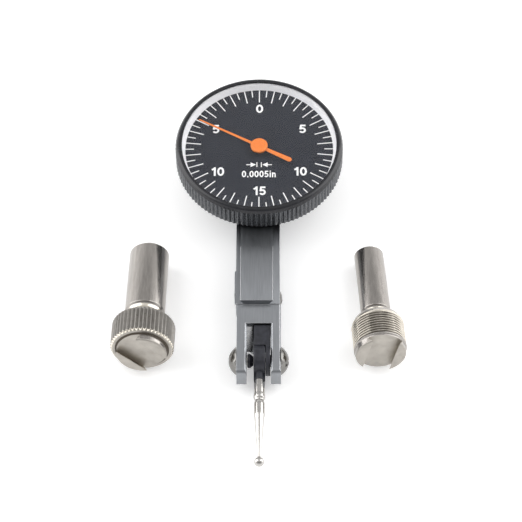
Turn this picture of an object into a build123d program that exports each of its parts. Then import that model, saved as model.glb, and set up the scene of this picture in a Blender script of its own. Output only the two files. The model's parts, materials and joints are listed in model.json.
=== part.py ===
"""Lever-type dial test indicator with its two dovetail mounting stems, lying on a flat surface.

The indicator lies on the dovetail rail of its back cover, dial up, with the contact stylus towards -Y.
A large stem with its knurled clamp nut lies on its left, a small stem on its right.
The row frame has +Z up, z = 0 on the surface, and x = y = 0 under the middle of the whole set.
Indicator pieces are drawn in the dial frame (x = y = 0 on the dial axis, z = 0 on the dial's printed face)
and stem pieces in the stem frame (z = 0 on the slot floor, claws towards +Z); place() moves them to the row.
"""

import os
from math import atan2, cos, degrees, hypot, pi, radians, sin, tan

from build123d import *

# ---- driving dimensions, millimetres and degrees ----------------------------------------------------
SET_CENTRE = (-0.0385, -25.8475)  # middle of the whole set, seen from the dial axis
DIAL_HEIGHT = 11.9  # dial face above the surface

BEZEL_R = 17.15
BEZEL_TEETH = 112
KNURL_DEPTH = 0.3
BEZEL_BOTTOM_Z = -3.4
BEZEL_SHOULDER_Z = 1.15
BEZEL_LIP_Z = 2.05
WINDOW_R = 15.8
DIAL_VISIBLE_R = 15.1

BODY_LEFT = -4.6
BODY_RIGHT = 4.2
COVER_HALF_WIDTH = 4.2
SHOULDER_Z = -4.8
PIVOT_Y = -46.2
PIVOT_Z = -7.7
FORK_HALF_WIDTH = 4.4
FORK_HALF_GAP = 2.39
LEG_HALF_HEIGHT = 2.57
LEG_END_Y = -50.45
LEG_END_RADIUS = 1.05
SLOT_TOP_Y = -38.95
BLOCK_TOP_Y = -34.6
FRAME_BACK_Z = -9.4
COVER_BACK_Z = -10.6
FRONT_WALL = 1.2
FORK_CHAMFER = 0.25
MOUTH_CHAMFER = 0.32
BODY_END_Y = 16.9
CAVITY_END_Y = 8.0
COVER_END_Y = 12.4

RAIL_WIDTH = 6.85
RAIL_HEIGHT = 1.3
RAIL_ANGLE = 57.0
FRONT_RAIL_X = -0.45
FRONT_RAIL_BEVEL = 0.22
FRONT_RAIL_Y = (BLOCK_TOP_Y, -21.75)
BACK_RAIL_Y = (BLOCK_TOP_Y, 9.0)

STYLUS_LENGTH = 22.7  # pivot axis to ball centre
BALL_R = 1.0
STYLUS_X = 0.15
KNUCKLE_R = 3.15
KNUCKLE_HALF_WIDTH = 1.15
NECK_R = 1.14
NECK_END = 4.6  # pivot axis to the end of the knuckle's neck

CROSS_Z = -6.4  # height of the cross shaft, which lies under the dial axis
SECTOR_TEETH_FULL = 576  # teeth of a whole circle of the sector's radius
CROSS_PINION_TEETH = 16
CROWN_TEETH = 52
CENTRE_PINION_TEETH = 10
CROWN_MODULE = 0.1

SHANK_CHAMFER = 0.9
STEM_LENGTH = 25.6  # slot floor to the shank's end
HEAD_LENGTH = 7.3
HEAD_R = 5.25
HEAD_TAPER = (0.55, 1.3)  # across and along the head's rear rim
THREAD_PITCH = 0.6
THREAD_DEPTH = 0.3
CLAW_R = 4.98
CLAW_HEIGHT = 1.28
NECK_LENGTH = 2.3
NECK_DEPTH = 0.55
NUT_R = 6.29
NUT_FRONT_Z = -0.3
NUT_LENGTH = 6.1
NUT_TEETH = 48
NUT_CHAMFER = 0.45
SLOT_CLEARANCE = 0.1

LARGE_STEM = {"shank_r": 4.0, "rest_r": NUT_R, "rest_z": NUT_FRONT_Z - NUT_LENGTH + NUT_CHAMFER,
              "x": -22.96, "y": -45.45, "heading": 1.65, "slot_angle": -44.0}
SMALL_STEM = {"shank_r": 3.0, "rest_r": HEAD_R, "rest_z": HEAD_TAPER[1] - HEAD_LENGTH,
              "x": 23.97, "y": -44.95, "heading": -4.0, "slot_angle": 76.0}

RUN = 0.04  # radial clearance of running fits
SNUG = 0.01  # radial clearance of pieces fixed together

# ---- worked out from them ---------------------------------------------------------------------------
RAIL_TOP_Z = SHOULDER_Z + RAIL_HEIGHT
RAIL_UNDERCUT = RAIL_HEIGHT / tan(radians(RAIL_ANGLE))
CROSS_DISTANCE = hypot(PIVOT_Y, CROSS_Z - PIVOT_Z)
CROSS_DIRECTION = degrees(atan2(CROSS_Z - PIVOT_Z, -PIVOT_Y))
GEAR_MODULE = 2 * CROSS_DISTANCE / (SECTOR_TEETH_FULL + CROSS_PINION_TEETH)
SECTOR_R = GEAR_MODULE * SECTOR_TEETH_FULL / 2
CROWN_R = CROWN_MODULE * CROWN_TEETH / 2

to_row_from_dial = Pos(-SET_CENTRE[0], -SET_CENTRE[1], DIAL_HEIGHT)


# ---- helpers ----------------------------------------------------------------------------------------
def block(x, y, z):
    """A box from (low, high) pairs."""
    size = [high - low for low, high in (x, y, z)]
    middle = [(high + low) / 2 for low, high in (x, y, z)]
    return Pos(*middle) * Box(*size)


def rod_z(radius, low, high, x=0.0, y=0.0):
    return Pos(x, y, (low + high) / 2) * Cylinder(radius, high - low)


def rod_x(radius, low, high, y=PIVOT_Y, z=PIVOT_Z):
    return Pos((low + high) / 2, y, z) * Rot(0, 90, 0) * Cylinder(radius, high - low)


def turned(points):
    """A body turned about Z from its half section, given as (radius, z) points."""
    section = make_face(Polyline(*[(r, 0, z) for r, z in points], close=True))
    return revolve(section, Axis.Z)


def turned_x(points, y=PIVOT_Y, z=PIVOT_Z):
    """A body turned about a line along X, from (radius, x) points."""
    return Pos(0, y, z) * Rot(0, 90, 0) * turned(points)


def plate_yz(points, x_low, x_high):
    """A plate with an outline of (y, z) points, between two planes of X."""
    outline = Plane.YZ * make_face(Polyline(*points, close=True))
    return Pos(x_low, 0, 0) * extrude(outline, x_high - x_low)


def rail_section(half_top, height, undercut):
    return [(-half_top, height), (half_top, height), (half_top - undercut, 0), (undercut - half_top, 0)]


def rail_along_y(y_low, y_high, base_z, up, height=RAIL_HEIGHT, middle_x=0.0):
    """A male dovetail rail on a face at base_z; up is 1 for a rail on top of it and -1 for one under it."""
    half_top = RAIL_WIDTH / 2 - (RAIL_HEIGHT - height) / tan(radians(RAIL_ANGLE))
    points = rail_section(half_top, height, half_top - RAIL_WIDTH / 2 + RAIL_UNDERCUT)
    outline = make_face(Polyline(*[(middle_x + x, y_low, base_z + up * z) for x, z in points], close=True))
    return extrude(outline, y_high - y_low, dir=(0, 1, 0))


def polar(radius, angle):
    return (radius * cos(radians(angle)), radius * sin(radians(angle)))


def knurl(crest_r, depth, teeth, low, high, crest_share=0.42, root_share=0.18):
    """A straight-knurled prism about Z."""
    pitch = 360 / teeth
    outline = []
    for i in range(teeth):
        start = i * pitch
        outline += [polar(crest_r, start), polar(crest_r, start + crest_share * pitch),
                    polar(crest_r - depth, start + (1 - root_share) * pitch / 1.25),
                    polar(crest_r - depth, start + (1 - root_share) * pitch / 1.25 + root_share * pitch)]
    return Pos(0, 0, low) * extrude(make_face(Polyline(*outline, close=True)), high - low)


def tooth_points(pitch_r, module, centre_angle, pitch_angle):
    """Root, tip, tip and root corners of one gear tooth, as (radius, angle) pairs."""
    tip_r, root_r = pitch_r + 0.9 * module, pitch_r - 1.1 * module
    return [(root_r, centre_angle - 0.33 * pitch_angle), (tip_r, centre_angle - 0.12 * pitch_angle),
            (tip_r, centre_angle + 0.12 * pitch_angle), (root_r, centre_angle + 0.33 * pitch_angle)]


def pinion_outline(teeth, module, first_angle):
    outline = []
    for i in range(teeth):
        pitch_angle = 360 / teeth
        corners = tooth_points(module * teeth / 2, module, first_angle + i * pitch_angle, pitch_angle)
        outline += [polar(r, angle) for r, angle in corners]
    return outline


def write(name, shape, move=to_row_from_dial):
    moved = move * shape
    solids = [solid for solid in moved.solids()]
    written = solids[0] if len(solids) == 1 else Compound(children=solids)
    written.label = name
    export_step(written, f"parts/{name}.step")


# ---- body -------------------------------------------------------------------------------------------
CASE_SCREWS = [(side * 3.35, y) for side in (-1, 1) for y in (-11.0, 11.0)]
COVER_SCREWS = [(side * 3.35, y) for side in (-1, 1) for y in (-36.6, 10.7)]
ACCESS_Y, ACCESS_Z = -29.35, -7.1
ACCESS_SCREW_Y = ACCESS_Y + 2.2
LEVER_OPENING_Y = (-8.5, 5.0)
LEVER_TUNNEL_X = (-1.25, 2.39)


def prism_y(points, y_low, y_high):
    """A bar along Y with an outline of (x, z) points."""
    outline = make_face(Polyline(*[(x, y_low, z) for x, z in points], close=True))
    return extrude(outline, y_high - y_low, dir=(0, 1, 0))


def fork_block():
    front_z, back_z = PIVOT_Z + LEG_HALF_HEIGHT, PIVOT_Z - LEG_HALF_HEIGHT
    fork = block((-FORK_HALF_WIDTH, FORK_HALF_WIDTH), (LEG_END_Y, BLOCK_TOP_Y), (back_z, front_z))
    fork = fillet(fork.edges().filter_by(Axis.X).sort_by(Axis.Y)[:2], LEG_END_RADIUS)
    edge = FORK_HALF_WIDTH - FORK_CHAMFER
    bevelled = [(-FORK_HALF_WIDTH, back_z), (FORK_HALF_WIDTH, back_z), (FORK_HALF_WIDTH, front_z - FORK_CHAMFER),
                (edge, front_z), (-FORK_HALF_WIDTH, front_z)]
    fork &= prism_y(bevelled, LEG_END_Y - 1, BLOCK_TOP_Y)
    fork -= block((-5, 5), (SLOT_TOP_Y, BLOCK_TOP_Y), (back_z - 1, FRAME_BACK_Z))
    mouth = FORK_HALF_GAP + MOUTH_CHAMFER
    gap = [(-FORK_HALF_GAP, back_z - 1), (FORK_HALF_GAP, back_z - 1), (FORK_HALF_GAP, front_z - MOUTH_CHAMFER),
           (mouth, front_z), (mouth, front_z + 1), (-mouth, front_z + 1), (-mouth, front_z),
           (-FORK_HALF_GAP, front_z - MOUTH_CHAMFER)]
    return fork - prism_y(gap, LEG_END_Y - 1, SLOT_TOP_Y)


def body_frame():
    beam = block((BODY_LEFT, BODY_RIGHT), (BLOCK_TOP_Y, BODY_END_Y), (FRAME_BACK_Z, SHOULDER_Z))
    tail = block((BODY_LEFT, BODY_RIGHT), (COVER_END_Y, BODY_END_Y), (COVER_BACK_Z, FRAME_BACK_Z))
    frame = beam + tail + fork_block()

    front_rail = rail_along_y(*FRONT_RAIL_Y, SHOULDER_Z, 1, middle_x=FRONT_RAIL_X)
    frame += chamfer(front_rail.edges().filter_by(Axis.Y).sort_by(Axis.Z)[-2:], FRONT_RAIL_BEVEL)
    frame += rail_along_y(FRONT_RAIL_Y[1], -15.4, SHOULDER_Z, 1, RAIL_HEIGHT - 0.3, FRONT_RAIL_X)
    rear_points = rail_section(RAIL_WIDTH / 2, RAIL_HEIGHT, RAIL_UNDERCUT)
    rear = make_face(Polyline(*[(x, BODY_END_Y + h, COVER_BACK_Z) for x, h in rear_points], close=True))
    frame += extrude(rear, SHOULDER_Z - COVER_BACK_Z, dir=(0, 0, 1))

    inner_z = SHOULDER_Z - FRONT_WALL
    gap = (-FORK_HALF_GAP, FORK_HALF_GAP)
    frame -= block(LEVER_TUNNEL_X, (SLOT_TOP_Y - 0.1, 0), (COVER_BACK_Z - 1, inner_z))
    frame -= block(gap, (LEVER_OPENING_Y[0], CAVITY_END_Y), (COVER_BACK_Z - 1, inner_z))
    frame -= block(gap, LEVER_OPENING_Y, (inner_z - 0.1, SHOULDER_Z + 1))

    ramp = [(SLOT_TOP_Y - 4.1, FRAME_BACK_Z), (SLOT_TOP_Y + 0.1, FRAME_BACK_Z), (SLOT_TOP_Y + 0.1, inner_z - 0.4)]
    frame += plate_yz(ramp, -FORK_HALF_GAP - 0.1, LEVER_TUNNEL_X[0])

    frame -= rod_x(1.2 + SNUG, -6, 6)
    for x, y in CASE_SCREWS:
        frame -= rod_z(0.6 + SNUG, -7.0, SHOULDER_Z + 1, x, y)
    for x, y in COVER_SCREWS:
        frame -= rod_z(0.5 + SNUG, -12, -7.3, x, y)
    for side in (-1, 1):
        low, high = sorted((side * 2.2, side * 3.5))
        frame -= rod_x(0.9 + SNUG, low, high, 0, CROSS_Z)
    frame -= rod_x(1.3, -5, -1, ACCESS_Y, ACCESS_Z)
    frame -= rod_x(0.35 + SNUG, -5, -3.3, ACCESS_SCREW_Y, ACCESS_Z)
    frame -= rod_x(0.6 + SNUG, 2.6, 5, -32.0, ACCESS_Z)
    return frame


def back_cover():
    plate = block((-COVER_HALF_WIDTH, COVER_HALF_WIDTH), (SLOT_TOP_Y, COVER_END_Y - 0.02), (COVER_BACK_Z, FRAME_BACK_Z))
    rail = rail_along_y(*BACK_RAIL_Y, COVER_BACK_Z, -1)
    rail = chamfer(rail.edges().filter_by(Axis.Y).sort_by(Axis.Z)[:2], 0.15)
    tongue = block((-2.3, 2.3), (-43.1, SLOT_TOP_Y), (-10.2, FRAME_BACK_Z))
    tongue = chamfer(tongue.edges().filter_by(Axis.Z).sort_by(Axis.Y)[:2], 1.0)
    cover = plate + rail + tongue
    for x, y in COVER_SCREWS:
        cover -= rod_z(0.5 + SNUG, -12, -9, x, y)
        cover -= Pos(x, y, 0) * turned([(0, COVER_BACK_Z - 0.1), (0.96, COVER_BACK_Z - 0.1), (0.96, COVER_BACK_Z),
                                        (0.51, COVER_BACK_Z + 0.46), (0, COVER_BACK_Z + 0.46)])
    return cover


def back_cover_screws():
    screw = turned([(0, COVER_BACK_Z + 0.02), (0.92, COVER_BACK_Z + 0.02), (0.5, COVER_BACK_Z + 0.46),
                    (0.5, -7.4), (0, -7.4)])
    screw -= block((-1, 1), (-0.12, 0.12), (-11, COVER_BACK_Z + 0.3))
    return [Pos(x, y, 0) * Rot(0, 0, 25 + 40 * i) * screw for i, (x, y) in enumerate(COVER_SCREWS)]


def access_cover():
    plate = block((BODY_LEFT - 0.3, BODY_LEFT), (ACCESS_Y - 3.05, ACCESS_Y + 3.05), (-9.1, -5.1))
    plate = chamfer(plate.edges().filter_by(Axis.X), 0.5)
    countersink = turned_x([(0, BODY_LEFT - 0.31), (0.71, BODY_LEFT - 0.31), (0.37, BODY_LEFT + 0.01),
                            (0, BODY_LEFT + 0.01)], ACCESS_SCREW_Y, ACCESS_Z)
    return plate - countersink


def domed_head(radius, height, shank_r, shank_length, slot_width, slot_depth, slot_angle):
    """A slotted round-head screw along Z: its seat at z = 0, the dome towards +Z."""
    ball_r = (radius**2 + height**2) / (2 * height)
    dome = Pos(0, 0, height - ball_r) * Sphere(ball_r) & rod_z(radius, 0, height + 1)
    slot = Rot(0, 0, slot_angle) * block((-9, 9), (-slot_width / 2, slot_width / 2), (height - slot_depth, height + 1))
    return dome - slot + rod_z(shank_r, -shank_length, 0.05)


def access_screw():
    screw = turned_x([(0, BODY_LEFT - 0.3), (0.68, BODY_LEFT - 0.3), (0.35, BODY_LEFT), (0.35, BODY_LEFT + 1.1),
                      (0, BODY_LEFT + 1.1)], ACCESS_SCREW_Y, ACCESS_Z)
    return screw - block((-5, BODY_LEFT - 0.15), (ACCESS_SCREW_Y - 1, ACCESS_SCREW_Y + 1), (-7.2, -7.0))


def side_screw():
    screw = domed_head(1.7, 0.5, 0.6, 1.6, 0.4, 0.3, 70)
    return Pos(BODY_RIGHT, -32.0, ACCESS_Z) * Rot(0, 90, 0) * screw


def pivot_screw(side, slot_angle):
    """The screw whose cupped tip carries one end of the pivot shaft."""
    shank = FORK_HALF_WIDTH - 2.25
    screw = domed_head(2.85, 1.6, 1.2, shank, 0.8, 0.75, slot_angle)
    cup = turned([(0, -shank - 0.1), (0.62, -shank - 0.1), (0.62, -shank), (0, -shank + 0.62)])
    return Pos(side * FORK_HALF_WIDTH, PIVOT_Y, PIVOT_Z) * Rot(0, side * 90, 0) * (screw - cup)


# ---- case, bezel and dial ---------------------------------------------------------------------------
CASE_R = 15.2
CASE_FLOOR_Z = SHOULDER_Z + 0.9
PLATE_Z = (-2.6, -1.9)
PILLAR_ANGLES = (90, 210, 330)
PILLAR_RADIUS = 10.5
WIRE_Z = -1.7


def dial_case():
    case = turned([(0, SHOULDER_Z), (CASE_R - 0.4, SHOULDER_Z), (CASE_R, SHOULDER_Z + 0.4), (CASE_R, WIRE_Z - 0.32),
                   (CASE_R - 0.38, WIRE_Z - 0.32), (CASE_R - 0.38, WIRE_Z + 0.32), (CASE_R, WIRE_Z + 0.32),
                   (CASE_R, -0.6), (14.0, -0.6), (14.0, CASE_FLOOR_Z), (0, CASE_FLOOR_Z)])
    case -= block((-FORK_HALF_GAP, FORK_HALF_GAP), LEVER_OPENING_Y, (-6, -3))
    for x, y in CASE_SCREWS:
        case -= rod_z(0.6 + SNUG, -6, -3, x, y)
    return case


def case_screws():
    screw = rod_z(1.0, CASE_FLOOR_Z, CASE_FLOOR_Z + 0.7) + rod_z(0.6, -6.9, CASE_FLOOR_Z)
    screw -= block((-2, 2), (-0.13, 0.13), (CASE_FLOOR_Z + 0.4, 0))
    return [Pos(x, y, 0) * Rot(0, 0, 30 * i) * screw for i, (x, y) in enumerate(CASE_SCREWS)]


def movement_plate():
    plate = rod_z(13.8, *PLATE_Z) - rod_z(1.2 + SNUG, -3, -1)
    for angle in PILLAR_ANGLES:
        plate -= rod_z(0.45 + SNUG, -3, -1, *polar(PILLAR_RADIUS, angle))
    for angle in (30, 150):
        plate -= rod_z(2.2, -3, -1, *polar(7.8, angle))
    return plate - rod_z(0.4 + SNUG, -3, -1, 3.3, 0)


def plate_pillars():
    pillar = rod_z(1.1, CASE_FLOOR_Z, PLATE_Z[0]) - rod_z(0.45 + SNUG, CASE_FLOOR_Z + 0.2, PLATE_Z[0] + 1)
    return [Pos(*polar(PILLAR_RADIUS, angle), 0) * pillar for angle in PILLAR_ANGLES]


def plate_screws():
    screw = rod_z(0.9, PLATE_Z[1], PLATE_Z[1] + 0.5) + rod_z(0.45, CASE_FLOOR_Z + 0.3, PLATE_Z[1])
    screw -= block((-2, 2), (-0.1, 0.1), (PLATE_Z[1] + 0.3, 0))
    return [Pos(*polar(PILLAR_RADIUS, angle), 0) * Rot(0, 0, angle / 4) * screw for angle in PILLAR_ANGLES]


def bezel_wire():
    """The sprung wire ring that keeps the bezel on the case, open at one place."""
    ring = Pos(0, 0, WIRE_Z) * Torus(CASE_R - 0.08, 0.27)
    return ring - block((-1.2, 1.2), (10, 20), (-3, 0))


def bezel():
    bore_r = CASE_R + 2 * RUN
    inner = [(bore_r, BEZEL_BOTTOM_Z), (bore_r, WIRE_Z - 0.4), (15.6, WIRE_Z - 0.3), (15.6, WIRE_Z + 0.3),
             (bore_r, WIRE_Z + 0.4), (bore_r, -0.35), (15.65, -0.35), (15.65, 0.0), (16.05, 0.0), (16.05, 1.5),
             (16.3, 1.5), (16.3, 1.9), (WINDOW_R, 1.9), (WINDOW_R, BEZEL_LIP_Z)]
    outer = [(16.4, BEZEL_LIP_Z), (16.8, 1.8), (BEZEL_R, BEZEL_SHOULDER_Z), (BEZEL_R, BEZEL_BOTTOM_Z + 0.25),
             (BEZEL_R - 0.25, BEZEL_BOTTOM_Z)]
    ring = turned(inner + outer)
    return ring & knurl(BEZEL_R, KNURL_DEPTH, BEZEL_TEETH, BEZEL_BOTTOM_Z - 1, BEZEL_LIP_Z + 1)


def crystal():
    return chamfer(rod_z(16.25, 1.52, 1.88).edges(), 0.06)


def reflector_ring():
    return turned([(DIAL_VISIBLE_R, 0.01), (16.0, 0.01), (16.0, 1.46), (WINDOW_R - 0.05, 1.46)])


def dial_plate():
    return rod_z(15.6, -0.34, 0.0) - rod_z(0.7, -1, 1)


# ---- pointer train ----------------------------------------------------------------------------------
POINTER_ANGLE = 151.0  # direction of the tip at rest, from +X
POINTER_Z = (0.9, 1.05)
HUB_TOP_Z = 1.36
POINTER_TIP = 14.3
POINTER_TAIL = 7.0


def pointer():
    hub = turned([(0, POINTER_Z[0]), (1.75, POINTER_Z[0]), (1.75, HUB_TOP_Z - 0.12), (1.63, HUB_TOP_Z), (0, HUB_TOP_Z)])
    arm = make_face(Polyline((-POINTER_TAIL, 0.55), (0, 0.34), (POINTER_TIP - 0.3, 0.17), (POINTER_TIP, 0),
                             (POINTER_TIP - 0.3, -0.17), (0, -0.34), (-POINTER_TAIL, -0.55), close=True))
    blade = Pos(0, 0, POINTER_Z[0]) * extrude(arm, POINTER_Z[1] - POINTER_Z[0])
    tail = rod_z(0.55, *POINTER_Z, -POINTER_TAIL, 0)
    boss = rod_z(0.6, 0.35, POINTER_Z[0])
    whole = hub + blade + tail + boss - rod_z(0.25 + SNUG, 0, HUB_TOP_Z + 1)
    return Rot(0, 0, POINTER_ANGLE) * whole


def centre_pinion():
    """The pointer's arbor with the pinion cut on it."""
    outline = pinion_outline(CENTRE_PINION_TEETH, CROWN_MODULE, 180)
    leaves = Pos(0, 0, -4.4) * extrude(make_face(Polyline(*outline, close=True)), 1.2)
    return leaves + rod_z(0.25, -4.45, 1.42) + rod_z(0.15, -4.9, -4.4)


def hairspring_collet():
    return rod_z(0.7, -1.7, -1.1) - rod_z(0.25 + SNUG, -2, 0)


def hairspring():
    """A flat spiral, from beside the collet to the stud."""
    turns, steps, first_r, last_r, thickness = 5, 24, 0.85, 4.2, 0.08
    inner, outer = [], []
    for i in range(turns * steps + 1):
        r = first_r + (last_r - first_r) * i / (turns * steps)
        angle = 360 * i / steps
        inner.append(polar(r, angle))
        outer.append(polar(r + thickness, angle))
    outline = Polyline(*inner, *reversed(outer), close=True)
    return Pos(0, 0, -1.55) * extrude(make_face(outline), 0.35)


def hairspring_stud():
    return block((4.3, 5.0), (-0.35, 0.35), (PLATE_Z[1], -1.1))


def centre_bush():
    return rod_z(1.2, *PLATE_Z) - rod_z(0.25 + RUN, -3, -1)


def lower_cock():
    """The bracket under the movement plate that carries the arbor's lower end."""
    shelf = block((-0.33, 2.2), (-0.8, 0.8), (-4.95, -4.55))
    post = block((1.3, 2.2), (-0.8, 0.8), (-4.6, -2.6))
    foot = block((1.3, 4.2), (-0.8, 0.8), (-3.2, -2.6))
    return shelf + post + foot - rod_z(0.15 + 0.02, -6, -4) - rod_z(0.4 + SNUG, -4, -2, 3.3, 0)


def cock_screw():
    screw = rod_z(0.8, PLATE_Z[1], PLATE_Z[1] + 0.35, 3.3, 0) + rod_z(0.4, -3.15, PLATE_Z[1], 3.3, 0)
    return screw - block((2, 5), (-0.1, 0.1), (PLATE_Z[1] + 0.2, 0))


def cross_pinion():
    """The cross shaft under the dial, along X, with the pinion that the sector drives."""
    outline = pinion_outline(CROSS_PINION_TEETH, GEAR_MODULE, 180 + CROSS_DIRECTION + 180 / CROSS_PINION_TEETH)
    leaves = plate_yz([(y, z + CROSS_Z) for y, z in outline], 0.85, 2.05)
    return leaves + rod_x(0.4, -2.3, 2.3, 0, CROSS_Z) + rod_x(0.25, -3.3, 3.3, 0, CROSS_Z)


def crown_gear():
    """The face gear on the cross shaft: teeth towards +X, in mesh with the centre pinion above it."""
    pitch = 360 / CROWN_TEETH
    disc = rod_x(CROWN_R + 0.2, -1.2, -0.62, 0, CROSS_Z) - rod_x(0.4 + SNUG, -2, 0, 0, CROSS_Z)
    for angle in (45, 135, 225, 315):
        y, z = polar(1.45, angle)
        disc -= rod_x(0.6, -2, 0, y, CROSS_Z + z)
    teeth = []
    for i in range(CROWN_TEETH):
        middle = 90 + (i + 0.5) * pitch
        corners = [(CROWN_R - 0.2, -0.24), (CROWN_R + 0.2, -0.24), (CROWN_R + 0.2, 0.24), (CROWN_R - 0.2, 0.24)]
        points = [polar(r, middle + share * pitch) for r, share in corners]
        teeth.append(plate_yz([(y, z + CROSS_Z) for y, z in points], -0.7, -0.42))
    return disc + teeth


def cross_bushes():
    ring = rod_x(0.9, 2.4, 3.49, 0, CROSS_Z) - rod_x(0.25 + RUN, 2, 4, 0, CROSS_Z)
    return [ring, mirror(ring, Plane.YZ)]


# ---- lever and stylus -------------------------------------------------------------------------------
ARM_X = (1.0, 1.9)
ARM_START_Y = -39.5
SHAFT_R = 0.6


def lever_block():
    """The black piece on the pivot shaft that the stylus knuckle is clamped against."""
    low, high = PIVOT_Z - 1.35, PIVOT_Z + 1.35
    cheek = rod_x(3.0, 1.36, 2.25) + block((1.36, 2.25), (PIVOT_Y, -36.5), (low, high))
    head = block((-1.0, 2.25), (PIVOT_Y + 1, -36.5), (low, high))
    head += block((-1.0, 2.25), (PIVOT_Y + 1, SLOT_TOP_Y - 0.25), (low, PIVOT_Z + 2.2))
    head -= rod_x(KNUCKLE_R + 0.1, -2, 1.36)
    slot = block(ARM_X, (ARM_START_Y, -36), (PIVOT_Z - 0.61, PIVOT_Z + 0.61))
    return cheek + head - slot - rod_x(SHAFT_R + SNUG, 1, 3)


def sector_lever():
    """The long arm in the body, with the toothed sector at its end."""
    pitch = 360 / SECTOR_TEETH_FULL
    teeth = []
    for i in range(-3, 4):
        corners = tooth_points(SECTOR_R, GEAR_MODULE, CROSS_DIRECTION + i * pitch, pitch)
        teeth += [polar(r, angle) for r, angle in corners]
    teeth = [(PIVOT_Y + y, PIVOT_Z + z) for y, z in teeth]
    low_tooth, high_tooth = teeth[0], teeth[-1]
    outline = [(ARM_START_Y, PIVOT_Z + 0.6), (ARM_START_Y, PIVOT_Z - 0.6), (-10, PIVOT_Z - 0.5),
               (low_tooth[0] - 1.2, low_tooth[1]), *teeth, (high_tooth[0] - 1.2, high_tooth[1]), (-9, PIVOT_Z + 0.5)]
    return plate_yz(outline, *ARM_X)


def pivot_shaft():
    cone_x, cone_r = 2.24, 0.56
    return turned_x([(0, -cone_x - cone_r), (cone_r, -cone_x), (SHAFT_R, -cone_x), (SHAFT_R, cone_x),
                     (cone_r, cone_x), (0, cone_x + cone_r)])


def friction_collar():
    """The coned collar that squeezes the knuckle against the lever."""
    return turned_x([(SHAFT_R + SNUG, -2.2), (1.42, -2.2), (1.42, -1.75), (0.9, -1.06), (SHAFT_R + SNUG, -1.06)])


def stylus_knuckle():
    low, high = STYLUS_X - KNUCKLE_HALF_WIDTH, STYLUS_X + KNUCKLE_HALF_WIDTH
    drum = rod_x(KNUCKLE_R, low, high)
    drum = fillet(drum.edges().filter_by(GeomType.CIRCLE), 0.3)
    neck = along_stylus([(0, 1.0), (NECK_R, 1.0), (NECK_R, NECK_END), (0, NECK_END)])
    bore = rod_x(SHAFT_R + RUN, -3, 3)
    socket = along_stylus([(0, 1.4), (0.6 + SNUG, 1.4), (0.6 + SNUG, 6), (0, 6)])
    return drum + neck - bore - socket


def along_stylus(points):
    """A body turned about the stylus axis, from (radius, distance from the pivot) points."""
    return Pos(STYLUS_X, PIVOT_Y, PIVOT_Z) * Rot(90, 0, 0) * turned(points)


def stylus_shank():
    """The bright sleeve screwed into the knuckle, with a bored end for the needle's thread."""
    sleeve = along_stylus([(0, 1.5), (0.6, 1.5), (0.6, NECK_END + 0.01), (1.1, NECK_END + 0.01), (1.1, 7.6),
                           (1.17, 8.0), (1.17, 8.5), (0.92, 9.0), (0.92, 9.2), (0, 9.2)])
    return sleeve - along_stylus([(0, 6.9), (0.5 + SNUG, 6.9), (0.5 + SNUG, 10), (0, 10)])


def stylus_needle():
    root, neck_end = 7.1, 9.22
    return along_stylus([(0, root), (0.5, root), (0.5, neck_end), (0.92, neck_end), (1.1, 9.9), (1.1, 12.4),
                         (0.98, 13.2), (0.38, STYLUS_LENGTH - BALL_R + 0.1), (0, STYLUS_LENGTH - BALL_R + 0.1)]) \
        - along_stylus_ball(BALL_R)


def along_stylus_ball(radius):
    return Pos(STYLUS_X, PIVOT_Y - STYLUS_LENGTH, PIVOT_Z) * Sphere(radius)


# ---- dovetail stems ---------------------------------------------------------------------------------
def thread_profile(crest_r, depth, low, high):
    """(radius, z) points of grooves one pitch apart, from high down to low."""
    points = [(crest_r - depth, high)]
    turns = int(round((high - low) / THREAD_PITCH))
    for i in range(turns):
        z = high - i * THREAD_PITCH
        points += [(crest_r, z - 0.42 * THREAD_PITCH), (crest_r, z - 0.58 * THREAD_PITCH),
                   (crest_r - depth, z - THREAD_PITCH)]
    return points


def stem(shank_r):
    """Shank, neck and threaded head in one piece, with two claws that hook over a dovetail rail."""
    across, along = HEAD_TAPER
    thread = thread_profile(HEAD_R, THREAD_DEPTH, along - HEAD_LENGTH, -0.6)
    neck_r = shank_r - NECK_DEPTH
    neck_z = -HEAD_LENGTH - NECK_LENGTH
    profile = [(0, CLAW_HEIGHT), (CLAW_R - 0.45, CLAW_HEIGHT), (CLAW_R, CLAW_HEIGHT - 0.45), (CLAW_R, -0.5), *thread,
               (HEAD_R - across, -HEAD_LENGTH), (neck_r, -HEAD_LENGTH), (neck_r, neck_z + 0.9),
               (shank_r - 0.42, neck_z + 0.5), (shank_r - 0.25, neck_z + 0.2), (shank_r, neck_z),
               (shank_r, SHANK_CHAMFER - STEM_LENGTH), (shank_r - SHANK_CHAMFER, -STEM_LENGTH), (0, -STEM_LENGTH)]
    half_floor = RAIL_WIDTH / 2 + SLOT_CLEARANCE
    undercut = CLAW_HEIGHT / tan(radians(RAIL_ANGLE))
    slot = [(0, -half_floor, 0), (0, half_floor, 0), (0, half_floor - undercut, CLAW_HEIGHT),
            (0, half_floor - undercut, CLAW_HEIGHT + 1), (0, undercut - half_floor, CLAW_HEIGHT + 1),
            (0, undercut - half_floor, CLAW_HEIGHT)]
    cutter = extrude(make_face(Polyline(*slot, close=True)), 20, dir=(1, 0, 0), both=True)
    return turned(profile) - cutter


def knurled_nut():
    """The clamp nut on the large stem's head, set back a little from its slot floor."""
    front, rear = NUT_FRONT_Z, NUT_FRONT_Z - NUT_LENGTH
    body = turned([(HEAD_R + RUN, front), (NUT_R - NUT_CHAMFER, front), (NUT_R, front - NUT_CHAMFER),
                   (NUT_R, rear + NUT_CHAMFER), (NUT_R - NUT_CHAMFER, rear), (5.55, rear),
                   (HEAD_R + RUN, rear + 0.2)])
    return body & knurl(NUT_R, 0.32, NUT_TEETH, -NUT_LENGTH - 1, 1, 0.12, 0.12)


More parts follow.
